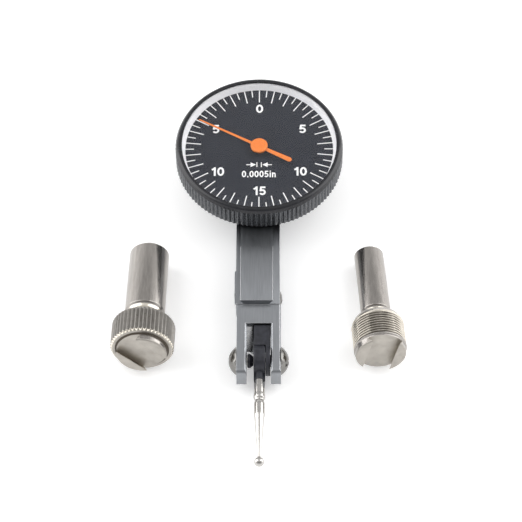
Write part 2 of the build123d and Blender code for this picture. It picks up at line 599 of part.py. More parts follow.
def lying(stem_data):
    """Where a stem lies: it rests on its head's or nut's rim and on the edge of its shank's end."""
    reach = stem_data["rest_z"] - (SHANK_CHAMFER - STEM_LENGTH)
    tilt = atan2(stem_data["rest_r"] - stem_data["shank_r"], reach)
    height = stem_data["rest_r"] * cos(tilt) - stem_data["rest_z"] * sin(tilt) + 0.01
    x, y = stem_data["x"] - SET_CENTRE[0], stem_data["y"] - SET_CENTRE[1]
    heading = Rot(0, 0, -stem_data["heading"])
    return Pos(x, y, height) * heading * Rot(90 - degrees(tilt), 0, 0) * Rot(0, 0, stem_data["slot_angle"])


# ---- all pieces -------------------------------------------------------------------------------------
def place():
    """Every piece's name and shape, each in the row frame's place."""
    dial_frame = {
        "body_frame": body_frame(), "back_cover": back_cover(), "back_cover_screws": back_cover_screws(),
        "access_cover": access_cover(), "access_screw": access_screw(), "side_screw": side_screw(),
        "pivot_screw_left": pivot_screw(-1, 20), "pivot_screw_right": pivot_screw(1, 55),
        "dial_case": dial_case(), "case_screws": case_screws(), "movement_plate": movement_plate(),
        "plate_pillars": plate_pillars(), "plate_screws": plate_screws(), "bezel_wire": bezel_wire(),
        "centre_bush": centre_bush(), "cross_bushes": cross_bushes(), "lower_cock": lower_cock(),
        "cock_screw": cock_screw(), "hairspring": hairspring(), "hairspring_stud": hairspring_stud(),
        "bezel": bezel(), "crystal": crystal(), "reflector_ring": reflector_ring(), "dial_plate": dial_plate(),
        "pointer": pointer(), "centre_pinion": centre_pinion(), "hairspring_collet": hairspring_collet(),
        "cross_pinion": cross_pinion(), "crown_gear": crown_gear(),
        "lever_block": lever_block(), "sector_lever": sector_lever(), "pivot_shaft": pivot_shaft(),
        "friction_collar": friction_collar(), "stylus_knuckle": stylus_knuckle(), "stylus_shank": stylus_shank(),
        "stylus_needle": stylus_needle(), "contact_ball": along_stylus_ball(BALL_R - 0.005),
    }
    os.makedirs("parts", exist_ok=True)
    for name, shape in dial_frame.items():
        write(name, Compound(children=shape) if isinstance(shape, list) else shape)
    write("large_stem", stem(LARGE_STEM["shank_r"]), lying(LARGE_STEM))
    write("knurled_nut", knurled_nut(), lying(LARGE_STEM))
    write("small_stem", stem(SMALL_STEM["shank_r"]), lying(SMALL_STEM))


place()
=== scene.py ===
import json
from math import asin, atan2, cos, floor, pi, radians, sin, tan

import bmesh
import bpy
from mathutils import Matrix, Vector


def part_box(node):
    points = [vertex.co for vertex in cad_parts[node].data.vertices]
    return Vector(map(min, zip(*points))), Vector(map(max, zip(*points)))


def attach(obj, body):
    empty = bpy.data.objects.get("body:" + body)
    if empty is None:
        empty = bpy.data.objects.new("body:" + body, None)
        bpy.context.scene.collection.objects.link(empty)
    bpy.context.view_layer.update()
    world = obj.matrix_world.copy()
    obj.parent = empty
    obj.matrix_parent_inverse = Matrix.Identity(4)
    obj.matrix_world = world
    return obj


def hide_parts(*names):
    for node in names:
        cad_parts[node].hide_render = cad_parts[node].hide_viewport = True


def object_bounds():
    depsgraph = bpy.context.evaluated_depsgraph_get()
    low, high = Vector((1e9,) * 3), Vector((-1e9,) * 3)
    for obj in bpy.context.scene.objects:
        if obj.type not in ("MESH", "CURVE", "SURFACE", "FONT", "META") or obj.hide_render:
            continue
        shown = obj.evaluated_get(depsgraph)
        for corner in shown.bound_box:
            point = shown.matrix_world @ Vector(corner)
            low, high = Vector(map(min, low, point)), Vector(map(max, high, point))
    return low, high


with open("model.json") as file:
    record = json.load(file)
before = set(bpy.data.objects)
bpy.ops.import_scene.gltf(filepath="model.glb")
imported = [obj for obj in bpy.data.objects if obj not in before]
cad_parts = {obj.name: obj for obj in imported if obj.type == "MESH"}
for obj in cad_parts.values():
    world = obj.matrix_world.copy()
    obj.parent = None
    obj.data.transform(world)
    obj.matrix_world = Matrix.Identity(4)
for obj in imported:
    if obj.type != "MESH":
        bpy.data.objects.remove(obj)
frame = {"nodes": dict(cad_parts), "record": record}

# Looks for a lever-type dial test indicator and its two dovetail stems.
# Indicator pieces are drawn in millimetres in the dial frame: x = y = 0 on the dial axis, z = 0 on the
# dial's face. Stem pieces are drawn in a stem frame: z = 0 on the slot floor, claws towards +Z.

cad_low, cad_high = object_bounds()

MM = 0.001
SHARP_ANGLE = 35

# ---- sizes in millimetres, the same as the CAD's ----------------------------------------------------
BEZEL_R = 17.15
BEZEL_TEETH = 112
BEZEL_KNURL_DEPTH = 0.3
BEZEL_BOTTOM = -3.4
BEZEL_SHOULDER = 1.15
BEZEL_LIP = 2.05
WINDOW_R = 15.8
CRYSTAL_R = 16.25
CRYSTAL_BOTTOM = 1.54
CRYSTAL_EDGE = 1.8
CRYSTAL_RISE = 0.1
DIAL_R = 15.6
DIAL_BACK = -0.33
DIAL_BORE_R = 0.72
TICK_OUTER_R = 15.06
LONG_TICK_R = 11.93
SHORT_TICK_R = 13.3
TICK_WIDTH = 0.21
NUMERAL_R = 10.28
NUMERAL_HEIGHT = 2.12
ARROWS_Y = -3.96
PRINT_HEIGHT = 0.02
BAND_STEP = 0.001  # keeps crossing bands of print out of one plane

POINTER_ANGLE = 151.0
POINTER_LOW = 0.9
POINTER_HIGH = 1.05
POINTER_TIP = 14.3
POINTER_TAIL = 7.0
HUB_R = 1.75
HUB_TOP = 1.36
ARBOR_R = 0.26

PIVOT_Y = -46.2
PIVOT_Z = -7.7
STYLUS_X = 0.15
STYLUS_LENGTH = 22.7
BALL_R = 1.0
KNUCKLE_R = 3.15
KNUCKLE_HALF_WIDTH = 1.15
NECK_R = 1.14
NECK_END = 4.6
RAMP_X = (-2.3, -1.2)
RAMP_Y = (-43.5, -38.8)

STEM_LENGTH = 25.6
SHANK_CHAMFER = 0.9
HEAD_LENGTH = 7.3
HEAD_R = 5.25
HEAD_TAPER = (0.55, 1.3)
THREAD_PITCH = 0.6
THREAD_DEPTH = 0.3
CLAW_R = 4.98
CLAW_HEIGHT = 1.28
NECK_LENGTH = 2.3
NECK_DEPTH = 0.55
RAIL_ANGLE = 57.0
RAIL_WIDTH = 6.85
SLOT_CLEARANCE = 0.1
NUT_R = 6.29
NUT_FRONT = -0.3
NUT_REAR = -6.4
NUT_TEETH = 48
NUT_KNURL_DEPTH = 0.32
NUT_CHAMFER = 0.45
NUT_BORE_R = 5.29
LARGE_SHANK_R = 4.0
SMALL_SHANK_R = 3.0
LARGE_SLOT_ANGLE = -44.0
SMALL_SLOT_ANGLE = 76.0
MOUNT_TO_SLOT_FLOOR = 17.15

# ---- camera -----------------------------------------------------------------------------------------
CAMERA_TARGET = (0.37, -22.44, -7.7)  # dial frame
CAMERA_DISTANCE = 497.0
CAMERA_ELEVATION = 56.12
CAMERA_AZIMUTH = -0.95
CAMERA_ROLL = -0.93
CAMERA_LENS = 169.15
CAMERA_SENSOR = 36.0

# ---- studio, in metres and watts --------------------------------------------------------------------
FLOOR_HALF = 1.5
FLOOR_GAP = 0.0002
FLOOR_GLOW = 0.26
WORLD_STRENGTH = 1.15
SOFTBOX_SIZE = (0.5, 1.1)
SOFTBOX_POWER = 3.2
SOFTBOXES = {"left_softbox": (-0.55, 0.1, 0.3), "right_softbox": (0.55, 0.15, 0.3)}
# (position, brightness) stops from the horizon up, and from the camera's side to the far side
WORLD_HEIGHT_STOPS = ((0.0, 1.0), (0.35, 1.0), (0.7, 0.45), (0.9, 0.75))
WORLD_FRONT_STOPS = ((0.1, 0.3), (0.5, 1.0))


# ---- places -----------------------------------------------------------------------------------------
def dial_frame():
    """The dial frame's matrix: millimetres on the dial axis to metres in the row."""
    low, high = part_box("dial_plate")
    origin = Vector(((low.x + high.x) / 2, (low.y + high.y) / 2, high.z))
    return Matrix.Translation(origin) @ Matrix.Scale(MM, 4)


def stem_frame(mount_name, slot_angle):
    """A stem frame's matrix, from the shank's mount: its axis points away from the claws."""
    mount = next(m for m in frame["record"]["mounts"] if m["name"] == mount_name)
    claws = -Vector(mount["axis"]).normalized()
    origin = Vector(mount["pos_m"]) + claws * MOUNT_TO_SLOT_FLOOR * MM
    heading = atan2(-claws.x, -claws.y)
    tilt = asin(claws.z)
    aim = Matrix.Rotation(-heading, 4, "Z") @ Matrix.Rotation(pi / 2 - tilt, 4, "X")
    roll = Matrix.Rotation(radians(slot_angle), 4, "Z")
    return Matrix.Translation(origin) @ aim @ roll @ Matrix.Scale(MM, 4)


DIAL = dial_frame()
LARGE = stem_frame("stem_8mm", LARGE_SLOT_ANGLE)
SMALL = stem_frame("stem_6mm", SMALL_SLOT_ANGLE)


# ---- mesh helpers -----------------------------------------------------------------------------------
def polar(radius, angle):
    return radius * cos(radians(angle)), radius * sin(radians(angle))


def radius_of(point):
    return (point.x * point.x + point.y * point.y) ** 0.5


def smoothed(mesh, sharp_angle=SHARP_ANGLE):
    mesh.shade_smooth()
    mesh.set_sharp_from_angle(angle=radians(sharp_angle))


def linked(name, mesh):
    obj = bpy.data.objects.new(name, mesh)
    bpy.context.scene.collection.objects.link(obj)
    return obj


def new_mesh(name, vertices, faces):
    """A mesh object with doubled points merged and normals outwards."""
    made = bmesh.new()
    points = [made.verts.new(v) for v in vertices]
    for face in faces:
        corners = []
        for i in face:
            if points[i] not in corners:
                corners.append(points[i])
        if len(corners) > 2:
            made.faces.new(corners)
    bmesh.ops.remove_doubles(made, verts=made.verts, dist=1e-5)
    bmesh.ops.recalc_face_normals(made, faces=made.faces)
    mesh = bpy.data.meshes.new(name)
    made.to_mesh(mesh)
    made.free()
    smoothed(mesh)
    return linked(name, mesh)


def soften(points, radius, steps=3, closed=True):
    """The same outline with each corner rounded by about radius."""
    made = []
    count = len(points)
    for i, corner in enumerate(points):
        if not closed and i in (0, count - 1):
            made.append(tuple(corner))
            continue
        here = Vector(corner)
        before, after = Vector(points[i - 1]) - here, Vector(points[(i + 1) % count]) - here
        start = here + before.normalized() * min(radius, before.length * 0.45)
        end = here + after.normalized() * min(radius, after.length * 0.45)
        for step in range(steps + 1):
            t = step / steps
            made.append(tuple((1 - t) ** 2 * start + 2 * t * (1 - t) * here + t**2 * end))
    return made


def lathe(name, profile, segments=96, ripple=None, closed=True):
    """A body turned about Z from (radius, z) points; ripple(radius, z, angle) may change the radius."""
    vertices, faces = [], []
    count = len(profile)
    for j in range(segments):
        angle = 360 * j / segments
        for r, z in profile:
            r = ripple(r, z, angle) if ripple else r
            vertices.append((*polar(r, angle), z))
    last = count if closed else count - 1
    for j in range(segments):
        here, there = j * count, (j + 1) % segments * count
        for i in range(last):
            k = (i + 1) % count
            faces.append((here + i, there + i, there + k, here + k))
    return new_mesh(name, vertices, faces)


def prism(name, outline, low, high):
    """An upright solid from an (x, y) outline."""
    count = len(outline)
    vertices = [(x, y, low) for x, y in outline] + [(x, y, high) for x, y in outline]
    faces = [tuple(range(count))[::-1], tuple(range(count, 2 * count))]
    faces += [(i, (i + 1) % count, count + (i + 1) % count, count + i) for i in range(count)]
    return new_mesh(name, vertices, faces)


def applied(obj):
    """Turns obj's modifiers into plain mesh."""
    graph = bpy.context.evaluated_depsgraph_get()
    mesh = bpy.data.meshes.new_from_object(obj.evaluated_get(graph))
    obj.modifiers.clear()
    old, obj.data = obj.data, mesh
    bpy.data.meshes.remove(old)
    return obj


def bevel(obj, width, segments=2, angle=35, edge_slot=-1):
    """Rounds obj's sharp edges; the rounded faces take the material in edge_slot."""
    modifier = obj.modifiers.new("bevel", "BEVEL")
    modifier.material = edge_slot
    modifier.width = width
    modifier.segments = segments
    modifier.limit_method = "ANGLE"
    modifier.angle_limit = radians(angle)
    modifier.harden_normals = False
    obj = applied(obj)
    smoothed(obj.data, 32)
    return obj


def cut(obj, cutter):
    """Takes cutter away from obj, and deletes it."""
    modifier = obj.modifiers.new("cut", "BOOLEAN")
    modifier.object = cutter
    modifier.solver = "EXACT"
    obj = applied(obj)
    bpy.data.objects.remove(cutter)
    smoothed(obj.data)
    return obj


def joined(name, objects):
    """One object from several."""
    made = bmesh.new()
    for obj in objects:
        obj.data.transform(obj.matrix_basis)
        made.from_mesh(obj.data)
        bpy.data.objects.remove(obj)
    mesh = bpy.data.meshes.new(name)
    made.to_mesh(mesh)
    made.free()
    smoothed(mesh)
    return linked(name, mesh)


def cad_copy(node, name, width, segments=2, edge_slot=-1):
    """A CAD node's own shape with its edges rounded by width millimetres."""
    source = frame["nodes"][node]
    made = bmesh.new()
    made.from_mesh(source.data)
    bmesh.ops.scale(made, vec=(1 / MM, 1 / MM, 1 / MM), verts=made.verts)
    bmesh.ops.remove_doubles(made, verts=made.verts, dist=1e-4)
    bmesh.ops.dissolve_limit(made, angle_limit=radians(0.5), verts=made.verts, edges=made.edges)
    mesh = bpy.data.meshes.new(name)
    made.to_mesh(mesh)
    made.free()
    for _ in range(edge_slot + 1):
        mesh.materials.append(None)
    obj = bevel(linked(name, mesh), width, segments, edge_slot=edge_slot)
    obj.data.transform(Matrix.Scale(MM, 4))
    return obj


def finish_piece(obj, material, body, slot, place=None, replaces=(), kind_of=None, more=()):
    """Puts a piece in its place, gives it its materials and joins it to its body.

    kind_of gives the material's number for a face: 0 for material, 1 for the first of more, and so on."""
    faces = obj.data.polygons
    kinds = [kind_of(face) if kind_of else face.material_index for face in faces]
    if place is not None:
        obj.data.transform(place)
    obj.data.materials.clear()
    for made_of in (material, *more):
        obj.data.materials.append(made_of)
    for face, kind in zip(faces, kinds):
        face.material_index = min(kind, len(more))
    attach(obj, body)
    if replaces:
        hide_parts(*replaces)
    return obj


# ---- materials --------------------------------------------------------------------------------------
class Surface:
    """A node material under construction."""

    def __init__(self, name, color, metallic=0.0, roughness=0.5, **sockets):
        self.material = bpy.data.materials.new(name)
        self.material.use_nodes = True
        self.nodes = self.material.node_tree.nodes
        self.links = self.material.node_tree.links
        self.shader = self.nodes["Principled BSDF"]
        self.color = color
        self.shader.inputs["Base Color"].default_value = (*color, 1)
        self.shader.inputs["Metallic"].default_value = metallic
        self.shader.inputs["Roughness"].default_value = roughness
        for socket, value in sockets.items():
            title = socket.replace("_", " ").title().replace("Ior", "IOR")
            self.shader.inputs[title].default_value = value

    def noise(self, scale, detail=4, stretch=(1, 1, 1)):
        """Noise with features of about 1/scale millimetres, closer together along an axis by its stretch."""
        place = self.nodes.new("ShaderNodeTexCoord")
        mapping = self.nodes.new("ShaderNodeMapping")
        mapping.inputs["Scale"].default_value = stretch
        self.links.new(place.outputs["Object"], mapping.inputs["Vector"])
        node = self.nodes.new("ShaderNodeTexNoise")
        node.inputs["Scale"].default_value = scale / MM
        node.inputs["Detail"].default_value = detail
        self.links.new(mapping.outputs["Vector"], node.inputs["Vector"])
        return node.outputs["Fac"]

    def ramp(self, fac, low, high, at=(0.3, 0.7)):
        """Remaps fac to values or colours from low to high."""
        node = self.nodes.new("ShaderNodeValToRGB")
        for element, value, position in zip(node.color_ramp.elements, (low, high), at):
            element.color = (*value, 1) if isinstance(value, tuple) else (value, value, value, 1)
            element.position = position
        self.links.new(fac, node.inputs["Fac"])
        return node.outputs["Color"]

    def shade(self, fac, amount, at=(0.3, 0.7)):
        """Varies the base colour by amount either way."""
        low = tuple(c * (1 - amount) for c in self.color)
        high = tuple(min(1, c * (1 + amount)) for c in self.color)
        self.links.new(self.ramp(fac, low, high, at), self.shader.inputs["Base Color"])
        return self

    def rough(self, fac, low, high, at=(0.3, 0.7)):
        self.links.new(self.ramp(fac, low, high, at), self.shader.inputs["Roughness"])
        return self

    def bump(self, fac, height, strength=1.0):
        """Bump from fac, height in millimetres."""
        node = self.nodes.new("ShaderNodeBump")
        node.inputs["Distance"].default_value = height * MM
        node.inputs["Strength"].default_value = strength
        self.links.new(fac, node.inputs["Height"])
        self.links.new(node.outputs["Normal"], self.shader.inputs["Normal"])
        return self


def brushed_aluminium():
    s = Surface("brushed_aluminium", (0.28, 0.29, 0.306), 1.0, 0.36)
    grain = s.noise(1.0, 5, stretch=(7, 0.25, 7))
    s.shade(grain, 0.08).rough(grain, 0.3, 0.42)
    return s.bump(s.noise(2.0, 3, stretch=(9, 0.3, 9)), 0.004, 0.3).material


# Painted highlight: a far paler aluminium for the rounded edges, also used as painted light on the shaded
# ramp beside the lever.
def painted_highlight_aluminium():
    s = Surface("painted_highlight_aluminium", (0.88, 0.9, 0.93), 1.0, 0.25)
    return s.shade(s.noise(1.5, 4), 0.15).rough(s.noise(3, 4), 0.2, 0.32).material


def bezel_knurl():
    s = Surface("bezel_knurl", (0.1, 0.104, 0.112), 0.8, 0.22)
    return s.shade(s.noise(2, 5, stretch=(2, 2, 0.3)), 0.35).rough(s.noise(3, 4), 0.16, 0.34).material


def bezel_black():
    s = Surface("bezel_black", (0.006, 0.0065, 0.01), 0.0, 0.24, coat_weight=0.15, coat_roughness=0.1)
    wear = s.noise(0.9, 6)
    return s.shade(wear, 0.3).rough(wear, 0.16, 0.3).bump(s.noise(9, 4), 0.003, 0.3).material


def case_black():
    s = Surface("case_black", (0.012, 0.0125, 0.014), 0.0, 0.5)
    return s.shade(s.noise(1.5, 5), 0.25).bump(s.noise(7, 4), 0.006, 0.4).material


def ring_white():
    s = Surface("ring_white", (0.93, 0.93, 0.98), 0.0, 0.45)
    return s.shade(s.noise(6, 6), 0.07).bump(s.noise(12, 4), 0.004, 0.5).material


def dial_black():
    s = Surface("dial_black", (0.009, 0.0115, 0.02), 0.0, 0.68, specular_ior_level=0.22)
    return s.shade(s.noise(5, 5), 0.12).rough(s.noise(3, 4), 0.62, 0.74).material


def print_white():
    s = Surface("print_white", (0.86, 0.86, 0.86), 0.0, 0.5)
    return s.shade(s.noise(10, 4), 0.06).material


def pointer_orange():
    s = Surface("pointer_orange", (0.76, 0.19, 0.018), 0.0, 0.42)
    s.shade(s.noise(3, 5), 0.1).rough(s.noise(4, 4), 0.36, 0.5)
    return s.bump(s.noise(12, 4), 0.003, 0.4).material


def crystal_clear():
    """Clear plastic that lets the lamps' light through to the dial."""
    s = Surface("crystal_clear", (1, 1, 1), 0.0, 0.0, transmission_weight=1.0, ior=1.35)
    path = s.nodes.new("ShaderNodeLightPath")
    clear = s.nodes.new("ShaderNodeBsdfTransparent")
    mix = s.nodes.new("ShaderNodeMixShader")
    s.rough(s.noise(0.6, 3), 0.0, 0.002)
    s.links.new(path.outputs["Is Shadow Ray"], mix.inputs["Fac"])
    s.links.new(s.shader.outputs["BSDF"], mix.inputs[1])
    s.links.new(clear.outputs["BSDF"], mix.inputs[2])
    s.links.new(mix.outputs["Shader"], s.nodes["Material Output"].inputs["Surface"])
    return s.material


def nickel(name, color, low, high, stretch, bump=0.0015):
    s = Surface(name, color, 1.0, 0.25)
    s.shade(s.noise(0.5, 5, stretch=stretch), 0.1).rough(s.noise(1.2, 5, stretch=stretch), low, high)
    return s.bump(s.noise(1.5, 3, stretch=stretch), bump, 0.4).material


def polished_steel():
    s = Surface("polished_steel", (0.5, 0.485, 0.465), 1.0, 0.12)
    return s.shade(s.noise(0.8, 4), 0.08).rough(s.noise(3, 4, stretch=(4, 1, 4)), 0.1, 0.22).material


def blackened():
    s = Surface("blackened_steel", (0.026, 0.027, 0.035), 0.3, 0.36)
    s.shade(s.noise(1.2, 5), 0.35).rough(s.noise(2.5, 5), 0.3, 0.5)
    return s.bump(s.noise(6, 5), 0.008, 0.5).material


def brass():
    s = Surface("machined_brass", (0.72, 0.52, 0.24), 1.0, 0.3)
    return s.shade(s.noise(1, 4), 0.12).rough(s.noise(2, 5, stretch=(5, 1, 1)), 0.24, 0.42).material


def blued_steel():
    s = Surface("blued_steel", (0.06, 0.09, 0.3), 1.0, 0.25)
    return s.shade(s.noise(2, 3), 0.2).material


ALUMINIUM = brushed_aluminium()
BEZEL_BLACK = bezel_black()
CASE_BLACK = case_black()
RING_WHITE = ring_white()
DIAL_BLACK = dial_black()
PRINT_WHITE = print_white()
ORANGE = pointer_orange()
CRYSTAL = crystal_clear()
PAINTED_HIGHLIGHT_ALUMINIUM = painted_highlight_aluminium()
BEZEL_KNURL = bezel_knurl()
SCREW_NICKEL = nickel("screw_nickel", (0.22, 0.215, 0.205), 0.12, 0.24, (1, 1, 1))
STEM_NICKEL = nickel("stem_nickel", (0.375, 0.352, 0.33), 0.17, 0.27, (4, 0.4, 4))
NUT_NICKEL = nickel("nut_nickel", (0.3, 0.285, 0.265), 0.26, 0.38, (2, 2, 2))
# Painted highlight and painted shade: a pale nickel for thread crests, necks, undercut walls and the nut's
# front chamfer, a dark one for thread grooves, the nut's bore and the gap to the nut.
PAINTED_HIGHLIGHT_NICKEL = nickel("painted_highlight_nickel", (0.66, 0.615, 0.54), 0.18, 0.28, (1, 1, 1))
PAINTED_SHADE_NICKEL = nickel("painted_shade_nickel", (0.1, 0.085, 0.07), 0.35, 0.5, (1, 1, 1))
FACE_NICKEL = nickel("stem_face_nickel", (0.42, 0.395, 0.36), 0.46, 0.6, (1, 1, 1), 0.004)
STEEL = polished_steel()
BLACKENED = blackened()
BRASS = brass()
BLUED = blued_steel()


# ---- bezel and dial ---------------------------------------------------------------------------------
def tooth_wave(angle, teeth, crest, root):
    """1 on a knurl's crest and 0 in its groove, with sloping flanks between."""
    phase = angle * teeth / 360
    phase -= floor(phase)
    distance = abs(phase - 0.5) * 2
    flank = 1 - crest - root
    return 1 - min(1, max(0, (distance - crest) / flank))


def bezel_ripple(r, z, angle):
    if r < BEZEL_R - 0.35 or z > BEZEL_SHOULDER + 0.05:
        return r
    fade = min(1, max(0, (r - (BEZEL_R - 0.35)) / 0.2))
    return r - BEZEL_KNURL_DEPTH * fade * (1 - tooth_wave(angle, BEZEL_TEETH, 0.3, 0.2))


def make_bezel():
    inner = [(15.3, BEZEL_BOTTOM), (15.3, -0.38), (15.65, -0.36), (15.65, 0.0), (16.05, 0.02), (16.05, 1.5),
             (16.3, 1.52), (16.3, 1.9), (WINDOW_R, 1.92), (WINDOW_R, BEZEL_LIP)]
    outer = [(16.4, BEZEL_LIP), (16.8, 1.8), (BEZEL_R, BEZEL_SHOULDER), (BEZEL_R, BEZEL_BOTTOM + 0.25),
             (BEZEL_R - 0.25, BEZEL_BOTTOM)]
    profile = soften(inner + outer, 0.09)
    bezel = lathe("bezel_ring_piece", profile, BEZEL_TEETH * 10, bezel_ripple)

    def knurled(face):
        return int(radius_of(face.center) > BEZEL_R - 0.36 and face.center.z < BEZEL_SHOULDER)

    finish_piece(bezel, BEZEL_BLACK, "bezel_ring", "bezel_black", DIAL, ("bezel",), knurled, (BEZEL_KNURL,))


def make_crystal():
    """A shallow dome on a disc whose rim has two rounded corners."""
    edge, bottom = CRYSTAL_EDGE, CRYSTAL_BOTTOM
    steps = 10
    dome = [(CRYSTAL_R * i / steps, edge + CRYSTAL_RISE * (1 - (i / steps) ** 2)) for i in range(steps)]
    disc = soften([(0, edge), (CRYSTAL_R, edge), (CRYSTAL_R, bottom), (0, bottom)], 0.05)
    rim = disc[4:12]
    crystal = lathe("crystal_piece", [(0, bottom)] + dome + rim, 160)
    finish_piece(crystal, CRYSTAL, "bezel_ring", "crystal", DIAL, ("crystal",))


def make_reflector():
    profile = soften([(15.02, 0.03), (15.98, 0.03), (15.98, 1.44), (15.74, 1.44)], 0.05)
    ring = lathe("reflector_ring_piece", profile, 256)
    finish_piece(ring, RING_WHITE, "bezel_ring", "ring_white", DIAL, ("reflector_ring",))


def make_dial():
    profile = soften([(DIAL_BORE_R, DIAL_BACK), (DIAL_R, DIAL_BACK), (DIAL_R, 0), (DIAL_BORE_R, 0)], 0.04)
    dial = lathe("dial_plate_piece", profile, 192)
    finish_piece(dial, DIAL_BLACK, "bezel_ring", "dial_black", DIAL, ("dial_plate",))


def make_graduation():
    ticks = []
    for i in range(60):
        inner = LONG_TICK_R if i % 2 == 0 else SHORT_TICK_R
        half = TICK_WIDTH / 2
        outline = [(inner, -half), (TICK_OUTER_R, -half), (TICK_OUTER_R, half), (inner, half)]
        tick = prism("tick", outline, 0, PRINT_HEIGHT)
        tick.data.transform(Matrix.Rotation(radians(6 * i + 90), 4, "Z"))
        ticks.append(tick)
    graduation = joined("graduation", ticks)
    finish_piece(graduation, PRINT_WHITE, "bezel_ring", "ring_white", DIAL)


def stroke_path(points, width):
    """The outline of a band of a given width along a line of points."""
    left, right = [], []
    for i, point in enumerate(points):
        here = Vector(point)
        before = Vector(points[i - 1]) if i else here
        after = Vector(points[i + 1]) if i + 1 < len(points) else here
        along = (after - before).normalized()
        side = Vector((-along.y, along.x)) * width / 2
        left.append(tuple(here + side))
        right.append(tuple(here - side))
    return left + right[::-1]


def arc(centre, radii, start, end, steps=14):
    """Points along an upright ellipse's arc, angles in degrees."""
    angles = [start + (end - start) * i / steps for i in range(steps + 1)]
    return [(centre[0] + radii[0] * cos(radians(a)), centre[1] + radii[1] * sin(radians(a))) for a in angles]


# Each figure is its width and its bands' middle lines, drawn in a box 1 high from x = 0.
STROKE = 0.19
FIGURE_GAP = 0.1
FIGURES = {
    "0": (0.66, [arc((0.33, 0.5), (0.235, 0.405), 0, 180), arc((0.33, 0.5), (0.235, 0.405), 180, 360)]),
    "1": (0.46, [[(0.33, 0), (0.33, 1)], [(0.04, 0.7), (0.2, 0.77), (0.33, 0.93)]]),
    "5": (0.66, [[(0.6, 0.905), (0.14, 0.905)], [(0.2, 0.98), (0.12, 0.44)],
                 arc((0.31, 0.335), (0.235, 0.24), 140, -150, 20)]),
    ".": (0.3, [[(0.15, 0), (0.15, 0.19)]]),
    "i": (0.28, [[(0.14, 0), (0.14, 0.72)], [(0.14, 0.84), (0.14, 1)]]),
    "n": (0.62, [[(0.12, 0), (0.12, 0.72)], arc((0.315, 0.42), (0.195, 0.215), 180, 0) + [(0.51, 0)]]),
}


def make_label(name, text, centre, height, width, stroke=STROKE):
    """Printed figures of a given height and width about a centre; stroke is a share of the height."""
    full = sum(FIGURES[letter][0] for letter in text) + FIGURE_GAP * (len(text) - 1)
    stretch = width / full
    bands = []
    x = centre[0] - width / 2
    for letter in text:
        box_width, lines = FIGURES[letter]
        for line in lines:
            outline = stroke_path([(px * stretch / height, py) for px, py in line], stroke)
            places = [(x + px * height, centre[1] + (py - 0.5) * height) for px, py in outline]
            bands.append(prism("band", places, 0, PRINT_HEIGHT + BAND_STEP * len(bands)))
        x += (box_width + FIGURE_GAP) * stretch
    finish_piece(joined(name, bands), PRINT_WHITE, "bezel_ring", "ring_white", DIAL)


def make_numerals():
    make_label("numeral_0", "0", (0.05, NUMERAL_R), NUMERAL_HEIGHT, 1.5)
    make_label("numeral_15", "15", (0.12, -NUMERAL_R - 0.15), NUMERAL_HEIGHT, 2.6)
    for side, name in ((-1, "left"), (1, "right")):
        make_label("numeral_5_" + name, "5", (side * 8.88, 5.08), NUMERAL_HEIGHT, 1.5)
        make_label("numeral_10_" + name, "10", (side * 8.38, -5.64), NUMERAL_HEIGHT, 2.6)
    make_label("graduation_value", "0.0005in", (-0.05, -6.28), 1.62, 6.9, 0.16)


def make_arrows():
    """Two bars, each with an arrow that points at it from outside."""
    parts = []
    for half_turn in (pi, 0):
        bar = prism("bar", [(0.36, -0.6), (0.54, -0.6), (0.54, 0.6), (0.36, 0.6)], 0, PRINT_HEIGHT)
        head = prism("head", [(0.66, 0), (1.73, -0.58), (1.73, 0.58)], 0, PRINT_HEIGHT)
        outline = [(1.7, -0.1), (2.6, -0.1), (2.6, 0.1), (1.7, 0.1)]
        shaft = prism("shaft", outline, 0, PRINT_HEIGHT + BAND_STEP)
        for part in (bar, head, shaft):
            part.data.transform(Matrix.Translation((0, ARROWS_Y, 0)) @ Matrix.Rotation(half_turn, 4, "Z"))
            parts.append(part)
    finish_piece(joined("interval_arrows", parts), PRINT_WHITE, "bezel_ring", "ring_white", DIAL)


def make_pointer():
    tail_r = 0.52
    tail = [(-POINTER_TAIL + tail_r * cos(radians(a)), tail_r * sin(radians(a))) for a in range(270, 80, -20)]
    blade = [(0, 0.32), (POINTER_TIP - 0.4, 0.15), (POINTER_TIP, 0), (POINTER_TIP - 0.4, -0.15), (0, -0.32)]
    arm = bevel(prism("arm", tail + blade, POINTER_LOW, POINTER_HIGH), 0.04, 2)
    hub_low = POINTER_LOW - 0.02
    hub_edge = soften([(0, hub_low), (HUB_R, hub_low), (HUB_R, HUB_TOP), (0, HUB_TOP)], 0.1, 4)
    hub = lathe("hub", [p for p in hub_edge if p[0] > 1] + [(0, HUB_TOP), (0, hub_low)], 64)
    boss = lathe("boss", [(ARBOR_R, 0.36), (0.6, 0.36), (0.6, POINTER_LOW), (ARBOR_R, POINTER_LOW)], 32)
    whole = joined("pointer_piece", [arm, hub, boss])
    whole.data.transform(Matrix.Rotation(radians(POINTER_ANGLE), 4, "Z"))
    finish_piece(whole, ORANGE, "pointer_arbor", "pointer_orange", DIAL, ("pointer",))
    cap_top = HUB_TOP + 0.07
    cap_profile = soften([(0, HUB_TOP), (ARBOR_R, HUB_TOP), (ARBOR_R, cap_top), (0, cap_top)], 0.03)
    finish_piece(lathe("arbor_end", cap_profile, 32), ORANGE, "pointer_arbor", "pointer_orange", DIAL)


